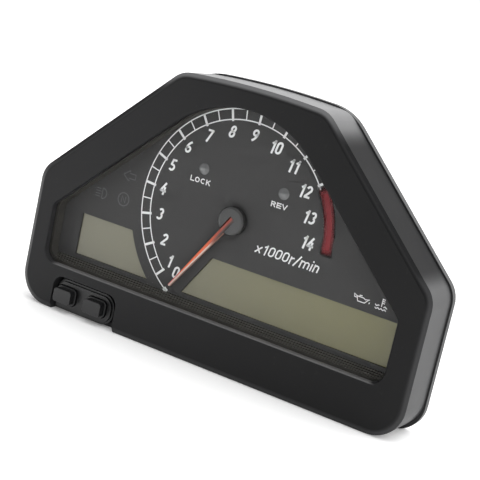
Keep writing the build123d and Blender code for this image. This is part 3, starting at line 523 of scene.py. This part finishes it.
def needle_finish():
    """Fluorescent orange, redder at the hub and the tip, with a painted highlight: a pale line along the blade's
    lower side.

    A place on the blade is worked out as its distance along the blade's rest direction and across it.
    """
    finish = Finish("needle_orange")
    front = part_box("needle_pointer")[0].y
    rest = math.radians(NEEDLE_REST)
    x, up = finish.axis("X"), finish.axis("Z") - NEEDLE_AXIS[2]
    along = x * math.cos(rest) + up * math.sin(rest)
    across = up * math.cos(rest) - x * math.sin(rest)
    half = along * -0.0198 + 1.7 * MM
    # painted highlight: a pale line along the blade's lower edge, from about 14 mm out
    pale = finish.fade(across - half, -0.95 * MM, -0.75 * MM) * finish.fade(along, 14 * MM, 20 * MM)
    side = finish.fade(finish.axis("Y"), front + 0.25 * MM, front + 0.5 * MM)
    streak = finish.noise(700.0, 2.0)
    face = finish.blend(streak, linear(206, 88, 46), linear(222, 108, 66))
    root = finish.fade(along, 8 * MM, 24 * MM, 1.0, 0.0)
    tip = finish.fade(along, 36 * MM, 52 * MM)
    shaded = root * finish.fade(across, -0.2 * MM, 0.3 * MM)
    face = finish.blend(shaded, finish.blend(root, face, linear(150, 62, 46)), linear(70, 52, 48))
    face = finish.blend(tip, face, linear(196, 84, 88))
    face = finish.blend(pale, face, linear(206, 182, 172))
    finish.set(Base_Color=finish.blend(side, face, linear(160, 120, 104)), Roughness=0.4)
    return finish


def striped(name, first, second, scale, metallic=0.0):
    """Fine parallel stripes, as of wound wire or layered rubber."""
    finish = Finish(name)
    wave = add_node(finish.tree, "ShaderNodeTexWave", {"bands_direction": "X"},
                    {"Vector": finish.place, "Scale": scale, "Distortion": 0.4})
    finish.set(Base_Color=finish.blend(wave, first, second), Roughness=0.4, Metallic=metallic)
    return finish.bump(wave, 0.04 * MM)


def board_finish():
    """Green solder resist over copper tracks."""
    finish = Finish("board_laminate")
    tracks = finish.fade(finish.noise(160.0, 0.0), 0.49, 0.51)
    finish.set(Base_Color=finish.blend(tracks, linear(20, 84, 44), linear(28, 110, 58)), Roughness=0.3)
    return finish.bump(tracks, 0.03 * MM)


def metal(name, colour, roughness):
    """Plated metal with fine brushing and slightly duller patches."""
    finish = Finish(name)
    patches = finish.noise(120.0, 4.0, 0.6)
    fine = finish.noise(3000.0, 2.0)
    duller = tuple(channel * 0.72 for channel in colour)
    finish.set(Base_Color=finish.blend(patches, colour, duller), Metallic=1.0)
    finish.set(Roughness=patches * 0.2 + (roughness - 0.1))
    return finish.bump(fine, 0.006 * MM)


def print_finish(name, colour):
    """Opaque screen-printing ink with a faint tooth."""
    finish = Finish(name)
    tooth = finish.noise(2400.0, 2.0)
    wear_and_sill_highlight = tuple(channel * 0.9 for channel in colour)
    finish.set(Base_Color=finish.blend(tooth, colour, wear_and_sill_highlight), Roughness=0.6)
    return finish


def red_zone_finish():
    """A red print that fades out at its edges, worked out from the distance to the needle's axis."""
    finish = Finish("red_print")
    x = finish.axis("X")
    up = finish.axis("Z") - NEEDLE_AXIS[2]
    reach = (x * x + up * up) ** 0.5
    inner = finish.fade(reach, RED_INNER, RED_INNER + 2.8 * MM)
    outer = finish.fade(reach, RED_OUTER - 2.6 * MM, RED_OUTER, 1.0, 0.0)
    slope = add_node(finish.tree, "ShaderNodeMath", {"operation": "ARCTAN2"}, {0: up, 1: x})
    low = finish.fade(slope, math.radians(RED_END), math.radians(RED_END + 4))
    high = finish.fade(slope, math.radians(RED_START - 5), math.radians(RED_START), 1.0, 0.0)
    finish.set(Base_Color=(*linear(136, 32, 40), 1.0), Roughness=0.5)
    finish.set(Alpha=inner * outer * low * high * 0.75)
    return finish


# ---- sizes and colours that a user would change ----------------------------------
class ScaleSettings(bpy.types.PropertyGroup):
    outer_radius: bpy.props.FloatProperty(
        name="Outer ring", description="Radius of the scale's outer line", default=58.5 * MM, unit="LENGTH")
    inner_radius: bpy.props.FloatProperty(
        name="Inner ring", description="Radius of the scale's inner line", default=52.9 * MM, unit="LENGTH")
    line_width: bpy.props.FloatProperty(
        name="Line width", description="Width of the rings and small marks", default=0.62 * MM, unit="LENGTH")
    mark_width: bpy.props.FloatProperty(
        name="Mark width", description="Width of each thousand's mark", default=1.3 * MM, unit="LENGTH")
    zero_angle: bpy.props.FloatProperty(
        name="Zero", description="Angle of nought, in degrees", default=NEEDLE_REST)
    eight_angle: bpy.props.FloatProperty(
        name="Eight", description="Angle of the eight, in degrees", default=105.23)
    step_angle: bpy.props.FloatProperty(
        name="Step", description="Angle between thousands, in degrees", default=17.32)
    figure_height: bpy.props.FloatProperty(
        name="Figure height", description="Height of the scale's figures", default=6.6 * MM, unit="LENGTH")


class StudSettings(bpy.types.PropertyGroup):
    head_radius: bpy.props.FloatProperty(
        name="Head radius", description="Radius of the head in the housing", default=6.0 * MM, unit="LENGTH")
    head_thickness: bpy.props.FloatProperty(
        name="Head thickness", description="Thickness of the head", default=3.0 * MM, unit="LENGTH")
    shoulder_radius: bpy.props.FloatProperty(
        name="Shoulder radius", description="Radius of the plain part", default=4.0 * MM, unit="LENGTH")
    pitch: bpy.props.FloatProperty(
        name="Pitch", description="Distance between turns of the thread", default=1.0 * MM, unit="LENGTH")


class StageSettings(bpy.types.PropertyGroup):
    lens: bpy.props.FloatProperty(
        name="Lens", description="Focal length on a 36 mm sensor, in millimetres", default=97.17)
    backdrop: bpy.props.FloatVectorProperty(
        name="Backdrop", description="Colour of the backdrop", default=(1.0, 1.0, 1.0), subtype="COLOR")
    floor: bpy.props.FloatVectorProperty(
        name="Floor", description="Colour of the floor", default=(0.96, 0.96, 0.96), subtype="COLOR")
    key_power: bpy.props.FloatProperty(
        name="Key light", description="Power of the large overhead light", default=2.2, unit="POWER")


def finish(name):
    """A material by name, made with the others on first use."""
    if not FINISHES:
        FINISHES.update(make_finishes())
    return FINISHES[name]


# ---- operators -------------------------------------------------------------------
class CLUSTER_OT_finishes(bpy.types.Operator):
    """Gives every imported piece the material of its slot"""

    bl_idname = "cluster.finishes"
    bl_label = "Finishes"

    def execute(self, context):
        slots = {row["node"]: row["material_slot"] for row in frame["record"]["subparts"]}
        for name, node in frame["nodes"].items():
            material = finish(slots[name])
            if not node.material_slots:
                node.data.materials.append(material)
            for slot in node.material_slots:
                slot.link = "OBJECT"
                slot.material = material
        return {"FINISHED"}


class CLUSTER_OT_scale(bpy.types.Operator):
    """Prints the rings, marks and figures of the tachometer's scale"""

    bl_idname = "cluster.scale"
    bl_label = "Scale"

    def mark_angle(self, settings, thousands):
        """Angle of a mark: even steps, with a shorter step up to nought."""
        if thousands < 1:
            return settings.zero_angle
        return settings.eight_angle + (8 - thousands) * settings.step_angle

    def execute(self, context):
        settings = context.scene.cluster_scale
        outer, inner = settings.outer_radius, settings.inner_radius
        thin, thick = settings.line_width, settings.mark_width
        first = self.mark_angle(settings, 1)
        ring_end = self.mark_angle(settings, 12)
        slab = dict(front=PRINT_FRONT, thickness=PRINT_THICKNESS)
        parts = [ribbon(arc(outer, settings.zero_angle, ring_end, count=140), thin, **slab)]
        parts.append(ribbon(arc(inner, first, ring_end - 2.5, count=120), thin, **slab))
        nought = radial(settings.zero_angle - 0.8, outer - 1.2 * MM, outer + 1.1 * MM)
        parts.append(ribbon(nought, thick * 2, **slab))
        for thousands in range(1, 13):
            turn = self.mark_angle(settings, thousands)
            parts.append(ribbon(radial(turn, inner - 0.9 * MM, outer), thick, **slab))
            if thousands < 12:
                half = turn - settings.step_angle / 2
                parts.append(ribbon(radial(half, inner, outer), thin, **slab))
        points, faces = merged(parts)
        link_mesh("scale_marks", points, faces, finish("white_print"))
        self.print_figures(settings)
        return {"FINISHED"}

    def print_figures(self, settings):
        places = ((-28.2, -37.3), (-32.8, -32.5), (-39.8, -22.1), (-45.5, -9.3), (-46.8, 4.7), (-43.7, 18.4),
                  (-36.5, 30.4), (-25.2, 39.4), (-12.5, 44.9), (1.0, 46.2), (14.8, 43.4), (27.0, 36.7),
                  (36.5, 26.2), (42.0, 14.0), (44.3, 1.2))
        for thousands, (across, up) in enumerate(places):
            centre = (across * MM, NEEDLE_AXIS[2] + up * MM)
            lettering(f"figure_{thousands}", str(thousands), settings.figure_height, centre, None,
                      0.172, 0.22, 0.98, finish("white_print"))


class CLUSTER_OT_legends(bpy.types.Operator):
    """Prints the unit line, the tell-tales' words and the red zone"""

    bl_idname = "cluster.legends"
    bl_label = "Legends"

    def execute(self, context):
        white = finish("white_print")
        axis_height = NEEDLE_AXIS[2]
        lettering("unit_line", "x1000r/min", 5.4 * MM, (34.2 * MM, axis_height - 9.6 * MM), 38.5 * MM,
                  0.14, 0.2, 1.0, white)
        for name, word, x, width in (("left_word", "LOCK", -25.4, 13.4), ("right_word", "REV", 23.4, 10.2)):
            centre = (x * MM, axis_height + 14.9 * MM)
            lettering(name, word, 2.7 * MM, centre, width * MM, 0.2, 0.0, 1.0, white)
        middle = (RED_INNER + RED_OUTER) / 2
        points, faces = ribbon(arc(middle, RED_START, RED_END, count=48), RED_OUTER - RED_INNER,
                               PRINT_FRONT, PRINT_THICKNESS)
        link_mesh("red_zone", points, faces, finish("red_print"))
        return {"FINISHED"}


class CLUSTER_OT_symbols(bpy.types.Operator):
    """Prints the warning symbols: oil, coolant and three unlit ones"""

    bl_idname = "cluster.symbols"
    bl_label = "Symbols"

    def strokes(self, name, centre, scale, lines, width, material):
        """Draws given lines, in the symbol's own unit and from its middle, as raised strokes."""
        parts = []
        for line in lines:
            points = np.asarray(line, float) * scale + (centre[0] * MM, NEEDLE_AXIS[2] + centre[1] * MM)
            parts.append(ribbon(points, width, PRINT_FRONT, PRINT_THICKNESS))
        points, faces = merged(parts)
        link_mesh(name, points, faces, material)

    def execute(self, context):
        white, faint = finish("white_print"), finish("faint_print")
        body = [(-2.6, 0.9), (-1.8, -1.5), (2.0, -1.5), (4.1, 0.9), (2.2, 0.3), (0.9, 0.9), (-2.6, 0.9)]
        spout = [(4.1, 0.9), (4.5, 0.7)]
        lid = [(-1.2, 0.9), (-1.2, 1.7), (0.2, 1.7)]
        handle = [(-2.6, 0.9), (-4.3, 1.8), (-3.9, 0.2), (-2.5, 0.2)]
        drop = [(4.6, -0.4), (4.5, -1.2)]
        self.strokes("oil_symbol", (79.5, -17.4), MM, [body, spout, lid, handle, drop], 0.5 * MM, white)
        stem = [(0.5, 4.0), (0.5, -1.6)]
        bars = [[(0.5, height), (2.3, height)] for height in (3.5, 2.2, 0.9)]
        waves = []
        for height, start, end in ((-1.4, -4.2, -1.2), (-1.4, 2.0, 4.6), (-3.3, -4.0, 4.2)):
            x = np.linspace(start, end, 30)
            waves.append(np.stack([x, height + 0.4 * np.sin(x * 2.6)], 1))
        self.strokes("coolant_symbol", (90.4, -16.6), 0.76 * MM, [stem, *bars, *waves], 0.5 * MM, white)
        arrow = [(-4.0, 0.0), (0.0, 3.0), (0.0, 1.4), (4.0, 1.4)]
        arrow += [(4.0, -1.4), (0.0, -1.4), (0.0, -3.0), (-4.0, 0.0)]
        self.strokes("turn_symbol", (-69.5, 5.3), MM, [arrow], 0.5 * MM, faint)
        lamp = arc(3.0, -90, 90, (0.0, 0.0), 24)
        beams = [[(-1.2, height), (-4.4, height)] for height in (-2.2, -0.75, 0.75, 2.2)]
        back = [(0.0, -3.0), (0.0, 3.0)]
        self.strokes("beam_symbol", (-85.0, -8.8), MM, [lamp, back, *beams], 0.5 * MM, faint)
        ring = arc(3.6, 0, 360, (0.0, 0.0), 40)
        letter = [(-1.3, -1.8), (-1.3, 1.8), (1.3, -1.8), (1.3, 1.8)]
        self.strokes("neutral_symbol", (-70.5, -8.3), MM, [ring, letter], 0.5 * MM, faint)
        return {"FINISHED"}


class CLUSTER_OT_studs(bpy.types.Operator):
    """Cuts real threads on the mounting studs"""

    bl_idname = "cluster.studs"
    bl_label = "Mounting studs"

    def execute(self, context):
        settings = context.scene.cluster_studs
        mount = next(row for row in frame["record"]["mounts"] if row["name"] == "mounting_studs")
        radius = mount["dims"]["stud_r_mm"] * MM
        circle = mount["dims"]["pcd_mm"] * MM / 2
        low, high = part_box("mounting_studs")
        shoulder_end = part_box("stud_grommets")[1].y
        head_back = low.y + settings.head_thickness
        parts = []
        for turn in np.radians(STUD_TURNS):
            x = mount["pos_m"][0] + circle * math.cos(turn)
            z = mount["pos_m"][2] + circle * math.sin(turn)
            parts.append(turned_bar(x, z, [low.y, head_back], [settings.head_radius] * 2))
            parts.append(turned_bar(x, z, [head_back, shoulder_end], [settings.shoulder_radius] * 2))
            parts.append(threaded_bar(x, z, shoulder_end, high.y, radius, THREAD_DEPTH, settings.pitch))
        points, faces = merged(parts)
        piece = link_mesh("threaded_studs", points, faces, finish("steel"), smooth=True)
        piece.data.set_sharp_from_angle(angle=math.radians(35))
        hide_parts("mounting_studs")
        return {"FINISHED"}


class CLUSTER_OT_stage(bpy.types.Operator):
    """Lays the floor and sets the lights, the backdrop and the camera"""

    bl_idname = "cluster.stage"
    bl_label = "Stage"

    def area_light(self, name, place, aim, size, power, tint=(1.0, 1.0, 1.0)):
        data = bpy.data.lights.new(name, "AREA")
        data.shape = "RECTANGLE"
        data.size, data.size_y = size
        data.energy = power
        data.color = tint
        lamp = bpy.data.objects.new(name, data)
        lamp.location = place
        lamp.rotation_euler = (Vector(aim) - Vector(place)).to_track_quat("-Z", "Y").to_euler()
        bpy.context.scene.collection.objects.link(lamp)

    def backdrop(self, scene, colour):
        """White for the camera; for light, bright behind and to the right, dimmer in front."""
        world = bpy.data.worlds.new("backdrop")
        scene.world = world
        world.use_nodes = True
        tree = world.node_tree
        tree.nodes.clear()
        direction = add_node(tree, "ShaderNodeTexCoord", {}, {}, "Generated")
        behind = add_node(tree, "ShaderNodeSeparateXYZ", {}, {"Vector": direction}, "Y")
        above = add_node(tree, "ShaderNodeSeparateXYZ", {}, {"Vector": direction}, "Z")
        beside = add_node(tree, "ShaderNodeSeparateXYZ", {}, {"Vector": direction}, "X")
        shade = add_node(tree, "ShaderNodeMapRange", {"interpolation_type": "SMOOTHSTEP"},
                         {"Value": behind + above * 0.5 + beside * 0.6, "From Min": -0.8, "From Max": 1.1,
                          "To Min": 0.35, "To Max": 2.3})
        seen = add_node(tree, "ShaderNodeLightPath", {}, {}, "Is Camera Ray")
        strength = shade + seen * (1.05 - shade)
        light = add_node(tree, "ShaderNodeBackground", {}, {"Color": (*colour, 1.0), "Strength": strength})
        output = tree.nodes.new("ShaderNodeOutputWorld")
        tree.links.new(light.socket, output.inputs["Surface"])

    def execute(self, context):
        scene = context.scene
        settings = scene.cluster_stage
        scene.view_settings.view_transform = "Standard"
        span = 3.0
        floor = link_floor(span, settings.floor)
        self.backdrop(scene, settings.backdrop)
        self.area_light("overhead", (0.1, -0.1, 0.9), (0, 0, 0.08), (1.0, 0.7), settings.key_power)
        self.area_light("front_left", (-0.9, -0.9, 0.55), (0, 0, 0.07), (0.7, 0.7), settings.key_power * 0.5)
        camera = bpy.data.objects.new("camera", bpy.data.cameras.new("camera"))
        camera.data.lens = settings.lens
        camera.data.sensor_width = 36.0
        camera.data.clip_start, camera.data.clip_end = 0.01, 20.0
        right = Vector((0.84324, 0.49317, 0.21386))
        up = Vector((-0.28753, 0.07765, 0.95462))
        back = right.cross(up)
        turn = Matrix((right, up, back)).transposed().to_4x4()
        chamfer_back = BEZEL_FRONT + 1.9 * MM
        camera.matrix_world = Matrix.Translation((0.3133, chamfer_back - 0.5770, 0.21035)) @ turn
        scene.collection.objects.link(camera)
        scene.camera = camera
        return {"FINISHED"}


def link_floor(span, colour):
    """A large pale floor, a little uneven in tone, level with the cluster's underside."""
    steps = 24
    side = np.linspace(-span, span, steps)
    x, y = np.meshgrid(side, side, indexing="ij")
    points = np.stack([x, y, np.zeros_like(x)], 2).reshape(-1, 3)
    index = np.arange(steps * steps).reshape(steps, steps)
    faces = np.stack([index[:-1, :-1], index[1:, :-1], index[1:, 1:], index[:-1, 1:]], 2).reshape(-1, 4)
    mesh = bpy.data.meshes.new("floor")
    mesh.from_pydata(points.tolist(), [], faces.tolist())
    floor = bpy.data.objects.new("floor", mesh)
    bpy.context.scene.collection.objects.link(floor)
    finish_of_floor = Finish("floor")
    tone = finish_of_floor.noise(3.0, 2.0)
    colour = tuple(colour)
    darker = tuple(channel * 0.98 for channel in colour)
    finish_of_floor.set(Base_Color=finish_of_floor.blend(tone, colour, darker), Roughness=0.9)
    finish_of_floor.shader.inputs["Specular IOR Level"].default_value = 0.1
    finish_of_floor.set(Emission_Color=(1.0, 1.0, 1.0, 1.0), Emission_Strength=0.12)
    mesh.materials.append(finish_of_floor.material)
    return floor


OPERATORS = (CLUSTER_OT_finishes, CLUSTER_OT_scale, CLUSTER_OT_legends, CLUSTER_OT_symbols, CLUSTER_OT_studs,
             CLUSTER_OT_stage)


class CLUSTER_PT_panel(bpy.types.Panel):
    """Lists the cluster's settings and steps in the sidebar"""

    bl_idname = "CLUSTER_PT_panel"
    bl_label = "Instrument Cluster"
    bl_space_type = "VIEW_3D"
    bl_region_type = "UI"
    bl_category = "Cluster"

    def draw(self, context):
        scene = context.scene
        for settings in (scene.cluster_scale, scene.cluster_studs, scene.cluster_stage):
            for name in settings.__annotations__:
                self.layout.prop(settings, name)
        for operator in OPERATORS:
            self.layout.operator(operator.bl_idname)


CLASSES = (ScaleSettings, StudSettings, StageSettings, *OPERATORS, CLUSTER_PT_panel)


def register():
    for each in CLASSES:
        bpy.utils.register_class(each)
    bpy.types.Scene.cluster_scale = bpy.props.PointerProperty(type=ScaleSettings)
    bpy.types.Scene.cluster_studs = bpy.props.PointerProperty(type=StudSettings)
    bpy.types.Scene.cluster_stage = bpy.props.PointerProperty(type=StageSettings)


def unregister():
    del bpy.types.Scene.cluster_stage
    del bpy.types.Scene.cluster_studs
    del bpy.types.Scene.cluster_scale
    for each in reversed(CLASSES):
        bpy.utils.unregister_class(each)


def main():
    """Runs every step in order."""
    register()
    for operator in OPERATORS:
        family, step = operator.bl_idname.split(".")
        getattr(getattr(bpy.ops, family), step)()


if __name__ == "__main__":
    main()
